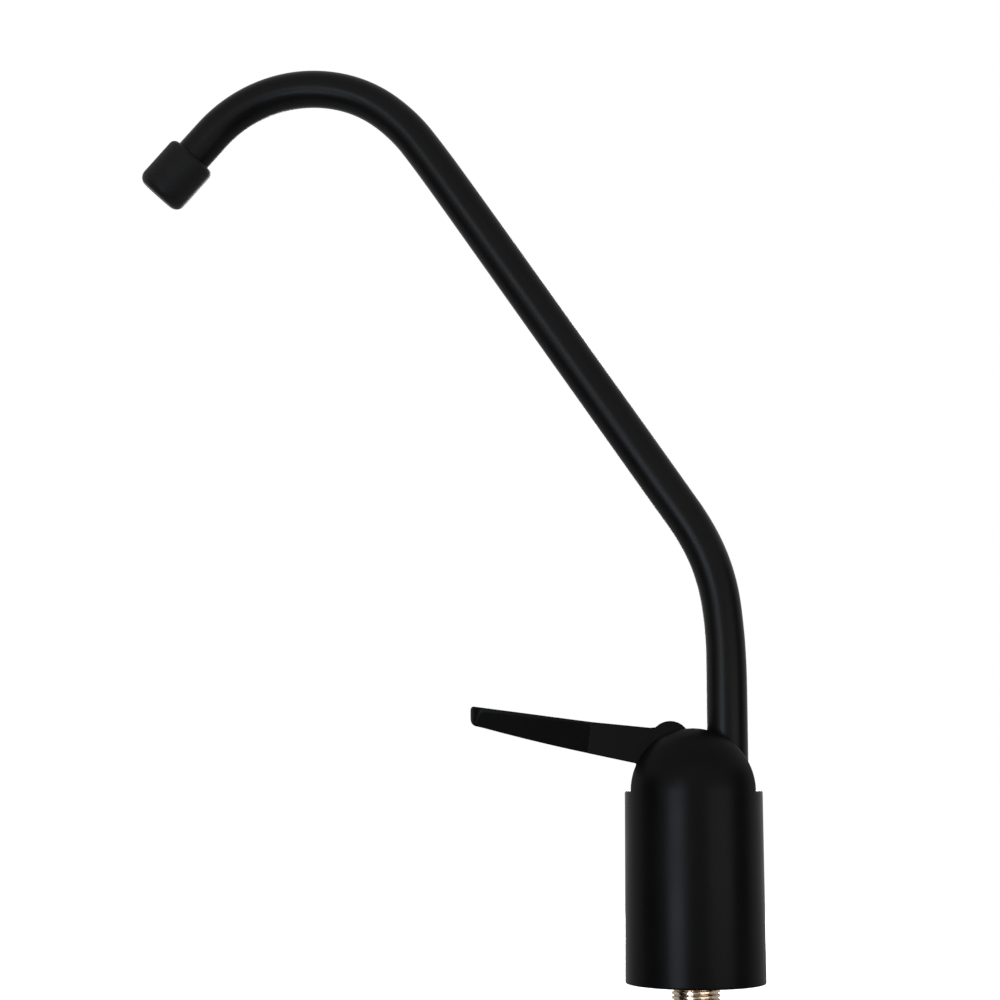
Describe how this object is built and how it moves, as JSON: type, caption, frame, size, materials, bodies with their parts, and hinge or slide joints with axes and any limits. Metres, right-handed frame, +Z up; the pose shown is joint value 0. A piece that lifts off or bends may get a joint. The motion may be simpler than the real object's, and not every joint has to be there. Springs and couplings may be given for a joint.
{
  "type": "drinking water filter tap",
  "caption": "Slim deck-mounted filter tap: round domed body, self-closing paddle lever, leaning swivel gooseneck with a short nozzle, and a threaded shank with its clamp.",
  "frame": {"origin": "centre of the body's underside, on the plane of the worktop", "axes": "+Z up along the body's axis, +X to the rear where the spout's riser stands, the lever and the spout reach towards -X"},
  "size_m": [0.1502, 0.032, 0.27],
  "materials": {
    "black_paint": "matte black powder coat",
    "black_tube": "matte black powder coat on steel tube",
    "lever_plastic": "satin black moulded plastic",
    "nozzle_plastic": "matte dark grey moulded plastic",
    "bush_plastic": "moulded acetal",
    "shank_brass": "turned, threaded",
    "brass": "turned",
    "steel": "zinc plated",
    "rubber": "moulded",
    "fibre": "pressed fibre"
  },
  "bodies": {
    "tap_body": {"body_shell": "black_paint", "valve_core": "brass", "threaded_shank": "shank_brass", "shank_seal": "fibre", "bonnet_nut": "brass", "cam_washer": "steel", "stem_oring": "rubber", "return_spring": "steel", "spout_bush": "bush_plastic", "base_gasket": "rubber", "clamp_rubber": "rubber", "clamp_washer": "steel", "lock_washer": "steel", "mounting_nut": "brass"},
    "stem": {"valve_stem": "brass", "seat_washer": "rubber", "seat_screw": "steel"},
    "pin": {"pivot_pin": "steel"},
    "lever": {"lever": "lever_plastic"},
    "spout": {"spout_tube": "black_tube", "spout_stub": "brass", "spout_oring_lower": "rubber", "spout_oring_upper": "rubber", "spout_clip": "steel", "nozzle_sleeve": "nozzle_plastic", "flow_straightener": "bush_plastic", "nozzle_seal": "rubber"}
  },
  "joints": [
    {"name": "spout_swivel", "type": "hinge", "parent": "tap_body", "child": "spout", "pos_m": [0.00805, 0, 0.044], "axis": [0, 0, 1], "continuous": true},
    {"name": "stem_lift", "type": "slide", "parent": "tap_body", "child": "stem", "axis": [0, 0, 1], "range_m": [0, 0.00161], "deforming": ["return_spring"]},
    {"name": "lever_press", "type": "hinge", "parent": "stem", "child": "pin", "pos_m": [-0.00514, 0, 0.0554], "axis": [0, -1, 0], "range_deg": [0, 20], "stiffness_Nm_per_rad": 0.3, "springref_deg": -17.19},
    {"name": "lever_flip", "type": "hinge", "parent": "pin", "child": "lever", "pos_m": [-0.00514, 0, 0.0554], "axis": [0, 1, 0], "range_deg": [0, 65]}
  ],
  "couplings": [
    {"joint": "stem_lift", "follows": "lever_press", "m_per_rad": 0.0045836}
  ]
}
